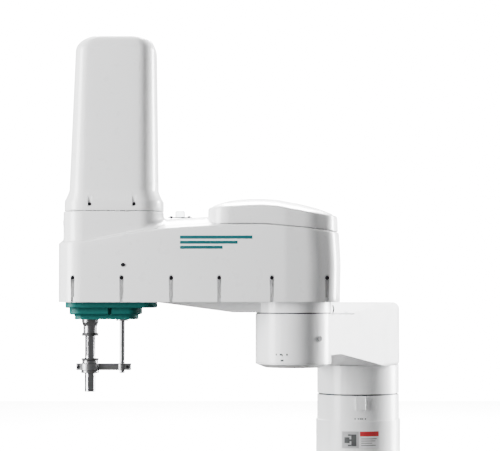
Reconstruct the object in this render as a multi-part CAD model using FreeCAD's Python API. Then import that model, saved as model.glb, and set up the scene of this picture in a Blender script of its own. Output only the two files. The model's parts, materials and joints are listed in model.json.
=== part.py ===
import FreeCAD, Part
import math
import os

# ---------------------------------------------------------------------------
# Four-axis horizontal articulated arm (SCARA), 20 kg / 1000 mm class.
# Row frame: origin on the J1 axis at the base mounting face, +Z up,
# +X the front of the base, +Y the left of the base.  Millimetres.
# ---------------------------------------------------------------------------

# --- driving dimensions ----------------------------------------------------
L1 = 525.0              # J1 axis to J2 axis
L2 = 475.0              # J2 axis to spline shaft axis
A1 = -20.0              # stored direction of link 1 from +X, degrees
A2 = -90.0              # stored direction of link 2 from +X, degrees

R_COL_UP = 106.0        # base column, upper turned part
R_COL_LO = 109.0        # base column, lower part
Z_STEP = 149.0          # step between the two
FOOT = 260.0            # square foot
FOOT_T = 20.0
BOLT_PITCH = 200.0
BOLT_R = 6.75
Z_J1_GAP_LO = 213.0     # underside of the J1 gap
Z_J1_GAP_HI = 217.0     # upper side of the J1 gap

R_J1 = 106.0            # link 1, J1 end
R_J2 = 88.5             # link 1, J2 end
Z_L1_LO = 288.0         # link 1 underside at J1
Z_L1_LO2 = 332.0        # link 1 underside at J2
Z_SPLIT1 = 424.0        # parting plane between link 1 casting and its cover
Z_L1_TOP = 450.5        # crown of the link 1 cover
Z_J2_TOP = 428.0        # top of the J2 ring on link 1
Z_J2_BOT = 315.0        # bottom of the J2 barrel

Z_A2 = 455.0            # underside of the link 2 cover
Z_A2_NECK = 431.0       # underside of the J2 neck of link 2
R_NECK2 = 88.8
U_NOSE = 546.0
U_REAR = -108.0
WALL = 4.0

U_ROD = 400.0           # guide rod, measured from J2
R_SHAFT = 12.5          # tool end of the shaft
R_SPLINE = 12.25        # grooved stretch of the shaft
R_BORE = 9.0            # through bore of the shaft
Z_SHAFT_LO = 245.6
Z_SHAFT_HI = 1000.0
R_ROD = 6.25
SCREW_U, SCREW_V = 430.0, -40.0      # ball screw axis
M3_U, M3_V = 350.0, -42.0            # J3 motor axis
M4_U, M4_V = 350.0, 46.0             # J4 motor axis

Z_TOWER_TOP = 1077.0

os.makedirs("parts", exist_ok=True)
V = FreeCAD.Vector
UPZ = V(0, 0, 1)

J2X = L1 * math.cos(math.radians(A1))
J2Y = L1 * math.sin(math.radians(A1))
P1 = FreeCAD.Placement(V(0, 0, 0), FreeCAD.Rotation(UPZ, A1))
P2 = FreeCAD.Placement(V(J2X, J2Y, 0), FreeCAD.Rotation(UPZ, A2))


# --- helpers ---------------------------------------------------------------
def cyl(r, z0, z1, x=0.0, y=0.0):
    return Part.makeCylinder(r, z1 - z0, V(x, y, z0))


def ring(ro, ri, z0, z1, x=0.0, y=0.0):
    return cyl(ro, z0, z1, x, y).cut(cyl(ri, z0 - 1, z1 + 1, x, y))


def cone(r0, r1, z0, z1, x=0.0, y=0.0):
    return Part.makeCone(r0, r1, z1 - z0, V(x, y, z0))


def box(x0, x1, y0, y1, z0, z1):
    return Part.makeBox(x1 - x0, y1 - y0, z1 - z0, V(x0, y0, z0))


def cyl_x(r, x0, x1, y, z):
    return Part.makeCylinder(r, x1 - x0, V(x0, y, z), V(1, 0, 0))


def cyl_y(r, y0, y1, x, z):
    return Part.makeCylinder(r, y1 - y0, V(x, y0, z), V(0, 1, 0))


def rounded(points):
    """Closed 2D outline of straight runs with a tangent arc at each corner."""
    n = len(points)
    cut = []
    for i in range(n):
        p0 = V(points[i - 1][0], points[i - 1][1], 0)
        p1 = V(points[i][0], points[i][1], 0)
        p2 = V(points[(i + 1) % n][0], points[(i + 1) % n][1], 0)
        r = points[i][2] if len(points[i]) > 2 else 0
        a = (p0 - p1).normalize()
        b = (p2 - p1).normalize()
        ang = a.getAngle(b)
        if r <= 0 or abs(ang - math.pi) < 1e-4:
            cut.append((p1, p1, None))
            continue
        d = r / math.tan(ang / 2)
        s = p1 + a * d
        e = p1 + b * d
        bis = (a + b).normalize()
        c = p1 + bis * (r / math.sin(ang / 2))
        m = c - bis * r
        cut.append((s, e, m))
    edges = []
    for i in range(n):
        s, e, m = cut[i]
        if m is not None:
            edges.append(Part.Arc(s, m, e).toShape())
        nx = cut[(i + 1) % n][0]
        if (nx - e).Length > 1e-6:
            edges.append(Part.LineSegment(e, nx).toShape())
    return Part.Wire(edges)


def prism(points, z0, z1):
    w = rounded(points)
    w.translate(V(0, 0, z0))
    return Part.Face(w).extrude(V(0, 0, z1 - z0))


def side_prism(points, v0, v1):
    """Outline in the (x, z) plane, extruded along y from v0 to v1."""
    w = rounded(points)
    m = FreeCAD.Matrix(1, 0, 0, 0, 0, 0, -1, v1, 0, 1, 0, 0, 0, 0, 0, 1)
    f = Part.Face(w)
    f = f.transformGeometry(FreeCAD.Matrix())
    f.Placement = FreeCAD.Placement(V(0, v1, 0), FreeCAD.Rotation(V(1, 0, 0), 90))
    return f.extrude(V(0, v0 - v1, 0))


def rrect(x0, x1, y0, y1, r):
    return [(x0, y0, r), (x1, y0, r), (x1, y1, r), (x0, y1, r)]


def fuse(*shapes):
    s = shapes[0].multiFuse(list(shapes[1:])) if len(shapes) > 1 else shapes[0]
    return s.removeSplitter()


def cut(s, *tools):
    for t in tools:
        s = s.cut(t)
    return s


def fillet(s, r, pick):
    """Round the edges that pick() accepts; step the radius down if needed."""
    for k in (1.0, 0.8, 0.6, 0.4, 0.25):
        edges = [e for e in s.Edges if pick(e)]
        if not edges:
            return s
        try:
            t = s.makeFillet(r * k, edges)
            if t.isValid() and t.Volume > 0:
                return t
        except Exception:
            pass
    return s


def hexagon(af, z0, z1, x, y):
    pts = []
    for i in range(6):
        a = math.radians(60 * i)
        pts.append((x + af / math.sqrt(3) * math.cos(a), y + af / math.sqrt(3) * math.sin(a)))
    return prism(pts, z0, z1)


def cap_screw(r, head_r, head_h, length, x, y, z, up=True):
    """Socket-head screw, head resting at z; up=True has the head above z."""
    sgn = 1 if up else -1
    if up:
        s = cyl(head_r, z, z + head_h, x, y)
        s = s.fuse(cyl(r, z - length, z, x, y))
        s = s.cut(hexagon(head_r * 0.95, z + head_h * 0.45, z + head_h + 1, x, y))
    else:
        s = cyl(head_r, z - head_h, z, x, y)
        s = s.fuse(cyl(r, z, z + length, x, y))
        s = s.cut(hexagon(head_r * 0.95, z - head_h - 1, z - head_h * 0.45, x, y))
    return s


def save(name, shape, place=None):
    if isinstance(shape, (list, tuple)):
        shape = Part.makeCompound(list(shape))
    if place is not None:
        shape = shape.copy()
        shape.Placement = place.multiply(shape.Placement)
    shape.exportStep("parts/" + name + ".step")
    sol = shape.Solids
    bad = [s for s in sol if not s.isValid()]
    print("%-26s solids %2d valid %s vol %.1f cm3" % (name, len(sol), not bad, shape.Volume / 1000.0))


def around(n, r, a0=0.0):
    return [(r * math.cos(math.radians(a0 + 360.0 * i / n)),
             r * math.sin(math.radians(a0 + 360.0 * i / n))) for i in range(n)]


# ===========================================================================
# BASE
# ===========================================================================
foot = prism(rrect(-FOOT / 2, FOOT / 2, -FOOT / 2, FOOT / 2, 28), 0, FOOT_T)
foot = fillet(foot, 4, lambda e: e.BoundBox.ZMin > FOOT_T - 0.1)
col = fuse(foot,
           cone(123, R_COL_LO, FOOT_T - 1, 66),
           cyl(R_COL_LO, FOOT_T - 1, Z_STEP),
           cyl(R_COL_UP, Z_STEP, Z_J1_GAP_LO),
           prism(rrect(-126, -60, -62, 62, 10), FOOT_T - 1, 142))
col = cut(col,
          cyl(99, -1, 155),
          cyl(40, 150, 170),
          cyl(80.2, 163, Z_J1_GAP_LO + 1),
          box(-130, -70, -55, 55, 30, 134))
for sx in (-1, 1):
    for sy in (-1, 1):
        col = col.cut(cyl(BOLT_R, -1, FOOT_T + 1, sx * BOLT_PITCH / 2, sy * BOLT_PITCH / 2))
for x, y in around(4, 64, 45):
    col = col.cut(cyl(3.3, 150, 170, x, y))
PANEL_SCREWS = [(-50, 36), (50, 36), (-50, 128), (50, 128)]
save("base_casting", col)

save("zero_tab", fillet(prism(rrect(R_COL_UP - 0.0 + 0.7, R_COL_UP + 7.5, -13.5, 13.5, 2.5), 178, 211), 1.5,
                        lambda e: e.BoundBox.ZMin > 210.9))

label = fuse(cyl(R_COL_LO + 1.0, 79, 125)).cut(cyl(R_COL_LO + 0.02, 78, 126))
label = label.common(box(60, 120, -49, 49, 79, 125))
save("label_plate", label)

seal = ring(102.5, 92, Z_J1_GAP_LO, Z_J1_GAP_HI - 0.6)
save("j1_gap_seal", seal)

panel = prism(rrect(-131, -126, -62, 62, 0.0), 22, 142)
panel = cut(panel,
            cyl_x(16.2, -135, -120, -28, 82),
            cyl_x(16.2, -135, -120, 14, 82),
            cyl_x(5.2, -135, -120, 44, 104), cyl_x(5.2, -135, -120, 44, 82),
            cyl_x(3.2, -135, -120, 44, 56))
for y, z in PANEL_SCREWS:
    panel = panel.cut(cyl_x(2.3, -135, -120, y, z - 4 if z > 100 else z))
save("base_rear_panel", panel)


def connector(y, z):
    s = cyl_x(16.0, -139, -112, y, z)
    s = s.fuse(box(-134, -131, y - 20, y + 20, z - 20, z + 20))
    s = s.cut(cyl_x(12.5, -140, -122, y, z))
    pins = [cyl_x(1.2, -134, -121, y + 7 * math.cos(math.radians(60 * i)), z + 7 * math.sin(math.radians(60 * i))) for i in range(6)]
    return s.multiFuse(pins)


save("rear_connectors", [connector(-28, 82), connector(14, 82)])

fit = []
for z in (104, 82):
    f = cyl_x(5.0, -146, -118, 44, z).fuse(cyl_x(7.0, -139, -131, 44, z)).cut(cyl_x(3.0, -147, -117, 44, z))
    fit.append(f)
save("air_fittings", fit)
stud = cyl_x(3.0, -145, -118, 44, 56).fuse(cyl_x(6.0, -134.5, -131, 44, 56))
save("rear_panel_fasteners", [stud] + [cyl_x(4.0, -133.6, -131, y, z - 4 if z > 100 else z).fuse(
    cyl_x(2.1, -131, -126.2, y, z - 4 if z > 100 else z)) for y, z in PANEL_SCREWS])

m1 = prism(rrect(-43, 43, -43, 43, 8), 36, 147)
m1 = fuse(m1, prism(rrect(-50, 50, -50, 50, 10), 147, 155), cyl(34, 24, 36), cyl(38, 155, 158))
m1 = m1.cut(cyl(9.6, 130, 160))
save("j1_motor", m1)

cs1 = ring(80.0, 55.0, 163, 183)
save("j1_reducer_rings", [cs1, ring(80.0, 68.0, 183.1, 211)])

# wave generator on the motor shaft (turns inside the cup)
ell = Part.Ellipse(V(0, 0, 166), 46.5, 44.5)
wg = Part.Face(Part.Wire([ell.toShape()])).extrude(V(0, 0, 13))
wg = wg.fuse(cyl(9.5, 135, 166)).cut(cyl(4.0, 150, 181))
save("j1_wave_generator", wg)

# ===========================================================================
# LINK 1  (local x from J1 to J2)
# ===========================================================================


def hull(r0, r1, d, z0, z1, x0=0.0):
    """Two circles joined by their outer tangents."""
    ang = math.acos((r0 - r1) / d)
    p = []
    a = V(x0 + r0 * math.cos(ang), r0 * math.sin(ang), 0)
    b = V(x0 + d + r1 * math.cos(ang), r1 * math.sin(ang), 0)
    a2 = V(a.x, -a.y, 0)
    b2 = V(b.x, -b.y, 0)
    e = [Part.LineSegment(a, b).toShape(),
         Part.Arc(b, V(x0 + d + r1, 0, 0), b2).toShape(),
         Part.LineSegment(b2, a2).toShape(),
         Part.Arc(a2, V(x0 - r0, 0, 0), a).toShape()]
    w = Part.Wire(e)
    w.translate(V(0, 0, z0))
    return Part.Face(w).extrude(V(0, 0, z1 - z0))


hub1 = fuse(cyl(67.95, 185, Z_J1_GAP_HI), cyl(54.4, 166, 186))
hub1 = cut(hub1, cyl(47.6, 165, 182), cyl(20, 180, 220))
save("j1_output_hub", hub1)

prof1 = [(-120, Z_L1_LO), (80, Z_L1_LO), (440, Z_L1_LO2), (640, Z_L1_LO2), (640, Z_SPLIT1), (-120, Z_SPLIT1)]
lk = hull(R_J1 + 1.5, R_J2, L1, Z_L1_LO, Z_SPLIT1).common(side_prism(prof1, -130, 130))
lk = fillet(lk, 10, lambda e: e.BoundBox.ZMax < Z_L1_LO + 0.5 and e.BoundBox.ZMin > Z_L1_LO - 0.5 and e.BoundBox.XMin < -50)
lk = fuse(lk, cyl(R_J1, Z_J1_GAP_HI, Z_L1_LO + 1), cyl(R_J2, Z_J2_BOT, Z_J2_TOP, L1, 0))
# cavities: J1 well, link channel, J2 well
inner = hull(R_J1 - 8, R_J2 - 9, L1, Z_L1_LO + 4, Z_SPLIT1 + 10)
inner = inner.common(side_prism([(-120, Z_L1_LO + 4), (80, Z_L1_LO + 10), (440, Z_L1_LO2 + 10), (440, Z_SPLIT1 - 9),
                                 (322, Z_SPLIT1 - 9), (322, 440), (-120, 440)], -130, 130))
inner = inner.cut(cyl(R_J2 + 6, 300, 450, L1, 0))
lk = cut(lk, inner, cyl(97, 229, Z_L1_LO + 6), cyl(20, 210, 235),
         cyl(78, Z_J2_BOT - 1, 392, L1, 0), cyl(56, 380, Z_J2_TOP + 1, L1, 0))
for x, y in around(6, 56, 30):
    lk = lk.cut(cyl(2.7, 215, 232, x, y))
# cable window between the link channel and the J2 well
lk = lk.cut(prism(rrect(L1 - 110, L1 - 60, -22, 22, 8), 345, 385))
COVER1_SCREWS = [(-94, 0), (0, 94.5), (0, -94.5), (150, 88), (150, -88), (332, 70), (332, -70)]
lugs = []
for x, y in COVER1_SCREWS:
    if x < 300:
        lugs.append(cyl(7.5, Z_SPLIT1 - 34, Z_SPLIT1, x, y))
lk = fuse(lk, *[l.common(hull(R_J1 - 2, R_J2 - 3, L1, 380, 430)) for l in lugs])
for x, y in COVER1_SCREWS:
    lk = lk.cut(cyl(2.2, Z_SPLIT1 - (20 if x < 300 else 8), Z_SPLIT1 + 1, x, y))
# plug hole on the J2 barrel
PLUG_A = math.radians(62.0)
PDX, PDY = math.cos(PLUG_A), math.sin(PLUG_A)
PZ = 371.0
lk = lk.cut(Part.makeCylinder(4.1, 30, V(L1 + 70 * PDX, 70 * PDY, PZ), V(PDX, PDY, 0)))
save("arm1_casting", lk, P1)

cprof = [(-120, Z_SPLIT1), (346, Z_SPLIT1), (346, Z_SPLIT1 + 3.4), (165, Z_L1_TOP - 3.0), (0, Z_L1_TOP), (-120, Z_L1_TOP)]
shell = hull(R_J1 + 1.5, R_J2, L1, Z_SPLIT1, Z_L1_TOP + 0.5)
shell = fillet(shell, 18, lambda e: e.BoundBox.ZMin > Z_L1_TOP)
cv = shell.common(side_prism(cprof, -130, 130))
cin = hull(R_J1 - 6, R_J2 - 7, L1, Z_SPLIT1 - 1, Z_L1_TOP - 18).common(box(-120, 230, -130, 130, Z_SPLIT1 - 2, Z_L1_TOP))
for x, y in COVER1_SCREWS:
    if x < 300:
        cin = cin.cut(cyl(8.0, Z_SPLIT1 - 2, 460, x, y))
cv = cv.cut(cin)
for x, y in COVER1_SCREWS:
    cv = cv.cut(cyl(2.6, Z_SPLIT1 - 1, 460, x, y))
    cv = cv.cut(cyl(5.2, Z_SPLIT1 + 2.0 if x > 300 else Z_SPLIT1 + 8, 460, x, y))
save("arm1_top_cover", cv, P1)
sc = []
for x, y in COVER1_SCREWS:
    zz = Z_SPLIT1 + 2.0 if x > 300 else Z_SPLIT1 + 8
    sc.append(cap_screw(2.0, 4.2, 1.2 if x > 300 else 4.0, 15 if x < 300 else 9, x, y, zz))

# domed cap under the J2 barrel, with a short spigot inside it
d1 = Part.makeCylinder(R_J2, 2.6, V(L1, 0, Z_J2_BOT - 3.2))
cap = fuse(d1, Part.makeCone(R_J2, R_J2 - 22, 9.0, V(L1, 0, Z_J2_BOT - 3.2), V(0, 0, -1)))
cap = fillet(cap, 4.0, lambda e: e.BoundBox.ZMax < Z_J2_BOT - 12)
cap = fuse(cap, ring(77.5, 70, Z_J2_BOT - 1.0, Z_J2_BOT + 14, L1, 0))
for x, y in around(4, 70, 45):
    cap = cap.fuse(cyl(7.2, Z_J2_BOT - 1, Z_J2_BOT + 14, L1 + x * 0.985, y * 0.985).common(cyl(77.5, 300, 340, L1, 0)))
cap = cap.removeSplitter()
for x, y in around(4, 70, 45):
    cap = cap.cut(cyl(2.3, 290, Z_J2_BOT + 9, L1 + x * 0.985, y * 0.985))
    cap = cap.cut(cyl(4.6, 290, Z_J2_BOT - 7.0, L1 + x * 0.985, y * 0.985))
save("j2_bottom_cap", cap, P1)
save("arm1_screws", sc + [cap_screw(2.1, 4.2, 3.6, 13, L1 + x * 0.985, y * 0.985, Z_J2_BOT - 7.0, up=False) for x, y in around(4, 70, 45)], P1)

# output hub of the J2 reducer, fixed to link 1 and standing up into link 2
hub2 = fuse(cyl(66, 380, 392, L1, 0), cyl(55.95, 391, 441, L1, 0), cyl(49.9, 440, 452, L1, 0))
hub2 = cut(hub2, cyl(41.0, 431, 455, L1, 0), cyl(15, 370, 435, L1, 0))
for x, y in around(6, 61, 0):
    hub2 = hub2.cut(cyl(2.0, 379, 393, L1 + x, y))
save("j2_output_hub", hub2, P1)

# the J2 end stop on the top of link 1
stop = prism([(L1 - 112, -6, 2), (L1 - 98, -6, 2), (L1 - 98, 6, 2), (L1 - 112, 6, 2)], Z_SPLIT1, 436)
save("j2_stop_block", stop, P1)
plug = Part.makeCylinder(4.0, R_J2 - 78, V(L1 + 79 * PDX, 79 * PDY, PZ), V(PDX, PDY, 0))
plug = plug.fuse(Part.makeCylinder(6.5, 1.6, V(L1 + (R_J2 + 0.05) * PDX, (R_J2 + 0.05) * PDY, PZ), V(PDX, PDY, 0)))
save("j2_grease_plug", plug, P1)

# ===========================================================================
# LINK 2  (local u from J2 towards the nose, v to the front side)
# ===========================================================================


def outline(inset=0.0):
    """Plan of link 2, rounded nose at +u and full curve at -u."""
    i = inset
    pts = [(U_NOSE - i, 85.0 - i, 60 - i), (20, 101.5 - i, 90), (-45, 96.5 - i, 90), (-92, 72 - i * 0.8, 40 - i), (U_REAR + i, 30, 28)]
    low = [(u, -v, r) for u, v, r in reversed(pts)]
    return low + pts


def half_width(u):
    if u > 486:
        return 25.0 + math.sqrt(max(0.0, 60.0 ** 2 - (u - 486.0) ** 2))
    return 85.0 + (101.5 - 85.0) * (U_NOSE - u) / (U_NOSE - 20.0)


SLOT_U = (509.0, 396.0, 282.0, 172.0, 51.0, -76.0)
SLOT_V = []
full = prism(outline(), 470, 480)
for su in SLOT_U:
    probe = full.common(box(su - 0.5, su + 0.5, 0, 130, 474, 475))
    SLOT_V.append(probe.BoundBox.YMax)

# side profile of the link 2 cover: top of the side face plus the crown
TOP = [(U_NOSE + 10, 611), (479, 620), (411, 631), (340, 641), (239, 650.5), (152, 654), (60, 655), (U_REAR - 10, 640)]


def side_profile(off, u0=U_REAR - 10, u1=U_NOSE + 10, z0=Z_A2):
    return [(u0, z0), (u1, z0)] + [(u, z - off, 400) if 0 < k < len(TOP) - 1 else (u, z - off) for k, (u, z) in enumerate(TOP)]


body = prism(outline(), Z_A2, 700).common(side_prism(side_profile(0), -140, 140))
zt = lambda e: e.BoundBox.ZMin > 560
body = fillet(body, 24, lambda e: zt(e) and (abs(e.BoundBox.YMin) > 14.9 or e.BoundBox.YLength > 20) and
              not (e.BoundBox.XLength < 0.5 and e.BoundBox.YLength > 100))
pedestal = prism(rrect(305, 536, -85, 85, 50), 560, 683)
body = fuse(body, pedestal)
cav = prism(outline(WALL), Z_A2 - 1, 700).common(side_prism(side_profile(WALL, z0=Z_A2 - 1), -140, 140))
cav = fillet(cav, 22, lambda e: zt(e) and (abs(e.BoundBox.YMin) > 10 or e.BoundBox.YLength > 20) and
             not (e.BoundBox.XLength < 0.5 and e.BoundBox.YLength > 100))
cav = fuse(cav, prism(rrect(305 + WALL, 536 - WALL, -81, 81, 46), 560, 690))
cover = body.cut(cav)
# opening under the J2 hood
cover = cover.cut(prism(rrect(-70, 150, -62, 62, 25), 600, 700))
for su, sv in zip(SLOT_U, SLOT_V):
    for sg in (-1, 1):
        y0, y1 = (sv - 2.6, sv + 8) if sg > 0 else (-sv - 8, -sv + 2.6)
        g = box(su - 4.5, su + 4.5, y0, y1, Z_A2 - 1, 512).fuse(cyl_y(4.5, y0, y1, su, 512))
        cover = cover.cut(g)
        cover = cover.fuse(cyl_y(7.0, sv - 8.5, sv - 2.6, su, 511) if sg > 0 else cyl_y(7.0, -sv + 2.6, -sv + 8.5, su, 511))
        cover = cover.cut(cyl_y(2.6, -sv - 10 if sg < 0 else sv - 12, -sv + 12 if sg < 0 else sv + 10, su, 511))
LAMP_U = 265.0
cover = cover.cut(cyl(3.0, 620, 700, LAMP_U, 0))
for du in (-21, 21):
    cover = cover.cut(cyl(1.7, 620, 700, LAMP_U + du, 0))
# side plug hole low on the nose
cover = cover.cut(cyl_y(3.1, 60, 110, 393, 541))
# button hole on the front of the nose
BTN_Z = 640.0
cover = cover.cut(cyl_x(8.3, 525, 545, 0, BTN_Z))
save("arm2_cover", cover, P2)

# casting: floor, J2 neck, rib, screw posts
floor = prism(outline(WALL + 0.6), Z_A2, 466)
neck = cyl(R_NECK2, Z_A2_NECK, 460)
ribp = side_prism([(50, Z_A2_NECK), (140, Z_A2_NECK), (315, Z_A2 - 0.5), (315, 460), (50, 460)], -46, 46)
posts = []
for su, sv in zip(SLOT_U, SLOT_V):
    for sg in (-1, 1):
        y1 = sg * (sv - 9.2)
        y0 = sg * (sv - 21.0)
        posts.append(box(su - 8, su + 8, min(y0, y1), max(y0, y1), 464, 522))
plan_in = prism(outline(WALL + 0.6), 463, 523)
cast = fuse(floor, neck, ribp, *[q.common(plan_in) for q in posts])
cast = fillet(cast, 6, lambda e: abs(e.BoundBox.ZMin - Z_A2_NECK) < 0.01 and e.BoundBox.ZMax < Z_A2_NECK + 0.01 and e.BoundBox.XMax > 100 and e.BoundBox.XMin > 80 and e.BoundBox.YLength < 1)
cast = cut(cast, cyl(75.2, 430, 453.2), cyl(24, 450, 470),
           cyl(31, 450, 470, L2, 0), cyl(12, 450, 470, U_ROD, 0))
for su, sv in zip(SLOT_U, SLOT_V):
    for sg in (-1, 1):
        cast = cast.cut(cyl_y(2.1, sg * sv - 26, sg * sv + 26, su, 511).common(box(su - 5, su + 5, min(0, sg * 140), max(0, sg * 140), 500, 522)))
for x, y in [(60, 60), (60, -60), (-60, 60), (-60, -60)]:
    cast = cast.cut(cyl(2.7, 450, 470, x * 0.75, y * 0.75))
FL_SCREWS = [(338, 44), (338, -44), (512, 40), (512, -40), (425, 58), (425, -58)]
for x, y in FL_SCREWS:
    cast = cast.cut(cyl(2.1, 450, 467, x, y))
save("arm2_casting", cast, P2)

cs = []
for su, sv in zip(SLOT_U, SLOT_V):
    for sg in (-1, 1):
        hd = cyl_y(4.0, sv - 2.5, sv - 0.4, su, 511)
        hd = hd.cut(box(su - 1.1, su + 1.1, sv - 1.5, sv, 506, 516))
        one = hd.fuse(cyl_y(2.0, sv - 22, sv - 2.5, su, 511))
        if sg < 0:
            one = one.mirror(V(0, 0, 0), V(0, 1, 0))
        cs.append(one)
LAMP_U = 265.0
cs += [cap_screw(1.5, 3.6, 3.0, 8, LAMP_U + du, 0, 653.5) for du in (-21, 21)]
save("arm2_cover_screws", cs, P2)

# hood over the J2 motor
hp = [(199, 97.5, 54), (20, 100.5, 90), (-45, 95.5, 90), (-91, 71, 40), (U_REAR + 1.5, 30, 28)]
hp = [(u, -v, r) for u, v, r in reversed(hp)] + hp
HOOD_LO = [(-120, 618), (-23, 628), (67, 636), (150, 636), (210, 634)]
hside = [(u, z) for u, z in HOOD_LO] + [(210, 686), (150, 690), (95, 694.5, 300), (40, 694.5, 300), (-120, 676)]
hood = prism(hp, 600, 720).common(side_prism(hside, -140, 140))
hood = hood.cut(body)
hood = max(hood.Solids, key=lambda q: q.Volume)
hood = fillet(hood, 14, lambda e: e.BoundBox.ZMin > 665 and not (e.BoundBox.XLength < 0.5 and e.BoundBox.YLength > 100))
hin = prism([(u - 4 if u > 0 else u + 4, v - 4 if v > 0 else v + 4, max(r - 4, 5)) for u, v, r in hp], 600, 720)
hin = hin.common(side_prism([(-120, 600), (210, 600), (210, 678), (150, 682), (95, 688), (40, 688), (-120, 668)], -140, 140))
hood = hood.cut(hin)
hood = max(hood.Solids, key=lambda q: q.Volume)
save("hood_cover", hood, P2)

# tower cover: skirt, tapered box, rounded top
def rr_wire(x0, x1, y0, y1, r, z):
    w = rounded(rrect(x0, x1, y0, y1, r))
    w.translate(V(0, 0, z))
    return w


def tower_solid(i, z0):
    lo = Part.makeLoft([rr_wire(316.7 + i, 520.4 - i, -80 + i, 80 - i, 42 - i, 713), rr_wire(321.9 + i, 505.9 - i, -75.5 + i, 75.5 - i, 36 - i, Z_TOWER_TOP - i + 0.0)], True, True)
    sk = Part.makeLoft([rr_wire(305 + i, 532 - i, -85 + i, 85 - i, 50 - i, 690), rr_wire(316.7 + i, 520.4 - i, -80 + i, 80 - i, 42 - i, 713)], True, True)
    base_ = prism(rrect(305 + i, 532 - i, -85 + i, 85 - i, 50 - i), z0, 690)
    t = fuse(lo, sk, base_)
    prof = side_prism([(280, z0 - 5), (560, z0 - 5), (560, 700), (523 - i, 713), (505.9 + 1.5 - i, Z_TOWER_TOP - i, 60 - i), (321 + i, Z_TOWER_TOP - i, 42 - i), (312 + i, 700), (280, 700)], -140, 140)
    return t.common(prof)


tower = tower_solid(0, 683.6)
tower = fillet(tower, 22, lambda e: e.BoundBox.ZMin > 1000 and e.BoundBox.XLength > 30)
tin = tower_solid(WALL, 680)
tin = fillet(tin, 18, lambda e: e.BoundBox.ZMin > 1000 and e.BoundBox.XLength > 30)
tower = tower.cut(tin)
TS = [(470.0, 1), (368.0, 1), (470.0, -1), (368.0, -1)]
for u, sg in TS:
    g = box(u - 4.5, u + 4.5, 82.4, 95, 680, 700).fuse(cyl_y(4.5, 82.0, 95, u, 700))
    if sg < 0:
        g = g.mirror(V(0, 0, 0), V(0, 1, 0))
    tower = tower.cut(g)
save("tower_cover", max(tower.Solids, key=lambda q: q.Volume), P2)

# flange under the nose that carries the shaft guide
fl = fuse(prism(rrect(320, 528.6, -72, 72, 26), 441.5, Z_A2),
          prism(rrect(355, 520.4, -60, 60, 26), 426, 442),
          prism(rrect(363.5, 508.7, -50, 50, 22), 415, 427))
fl = fillet(fl, 3.0, lambda e: abs(e.BoundBox.ZMin - 441.5) < 0.01 and e.BoundBox.ZMax < 441.6 and (e.BoundBox.XMin < 350 or abs(e.BoundBox.YMin) > 65))
fl = fillet(fl, 4.0, lambda e: abs(e.BoundBox.ZMin - 426) < 0.01 and e.BoundBox.ZMax < 426.1)
fl = cut(fl, cyl(30.0, 425, 460, L2, 0), cyl(21.5, 410, 430, L2, 0), cyl(12, 410, 460, U_ROD, 0))
for x, y in FL_SCREWS:
    fl = fl.cut(cyl(2.6, 410, 460, x, y))
    fl = fl.cut(cyl(4.6, 410, 446.5, x, y))
save("shaft_flange", fl, P2)
save("shaft_flange_screws", [cap_screw(2.0, 4.2, 4.2, 12, x, y, 446.5, up=False) for x, y in FL_SCREWS], P2)

# shaft nut bearing, fixed in flange and casting
save("spline_nut_bearing", ring(29.9, 20.25, 430, 466, L2, 0), P2)
# linear bushing of the guide rod
bush = fuse(cyl(11.8, 419, 464, U_ROD, 0), cyl(14.5, 411, 415, U_ROD, 0), cyl(11.8, 414, 420, U_ROD, 0)).cut(cyl(R_ROD + 0.06, 400, 470, U_ROD, 0))
save("guide_bushing", bush, P2)

# motors
m2 = fuse(prism(rrect(-40, 40, -40, 40, 8), 475, 600), prism(rrect(-46, 46, -46, 46, 8), 466, 475), cyl(33, 600, 640)).cut(cyl(10, 460, 500))
for x, y in [(60, 60), (60, -60), (-60, 60), (-60, -60)]:
    pass
save("j2_motor", m2, P2)
Z_BR = 548.0
m3 = fuse(prism(rrect(M3_U - 27, M3_U + 27, M3_V - 27, M3_V + 27, 6), Z_BR + 14, 650), cyl(24, 650, 672, M3_U, M3_V), cyl(25, Z_BR + 8, Z_BR + 14, M3_U, M3_V)).cut(cyl(6.4, Z_BR, Z_BR + 34, M3_U, M3_V))
save("j3_motor", m3, P2)
m4 = fuse(prism(rrect(M4_U - 22, M4_U + 22, M4_V - 22, M4_V + 22, 6), Z_BR + 14, 640), cyl(20, 640, 662, M4_U, M4_V), cyl(20, Z_BR + 8, Z_BR + 14, M4_U, M4_V)).cut(cyl(6.4, Z_BR, Z_BR + 34, M4_U, M4_V))
save("j4_motor", m4, P2)

# bracket plate on four columns, carries both motors and the screw bearing
br = prism([(312, -78, 14), (480, -74, 14), (511, -44, 14), (511, 44, 14), (480, 74, 14), (372, 79, 14), (312, 79, 14)], Z_BR, Z_BR + 8)
br = cut(br, cyl(31, 540, 560, L2, 0), cyl(12, 540, 560, U_ROD, 0), cyl(15.0, 540, 560, SCREW_U, SCREW_V),
         cyl(14, 540, 560, M3_U, M3_V), cyl(14, 540, 560, M4_U, M4_V))
legs = [(322, 4), (499, 44), (499, -44), (425, 62), (365, -70)]
br = fuse(br, *[cyl(6.5, 466, Z_BR + 1, x, y) for x, y in legs])
save("z_drive_bracket", br, P2)
save("ball_screw_bearing", fuse(ring(22, 14.6, Z_BR + 8, Z_BR + 11, SCREW_U, SCREW_V), ring(14.6, 10.06, Z_BR - 3, Z_BR + 11, SCREW_U, SCREW_V)), P2)


def belt(x0, y0, r0, x1, y1, r1, z0, z1, t=1.5):
    d = math.hypot(x1 - x0, y1 - y0)
    a = math.degrees(math.atan2(y1 - y0, x1 - x0))
    o = hull(r0 + t, r1 + t, d, z0, z1)
    i = hull(r0, r1, d, z0 - 1, z1 + 1)
    s = o.cut(i)
    s.Placement = FreeCAD.Placement(V(x0, y0, 0), FreeCAD.Rotation(UPZ, a))
    return s


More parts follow.
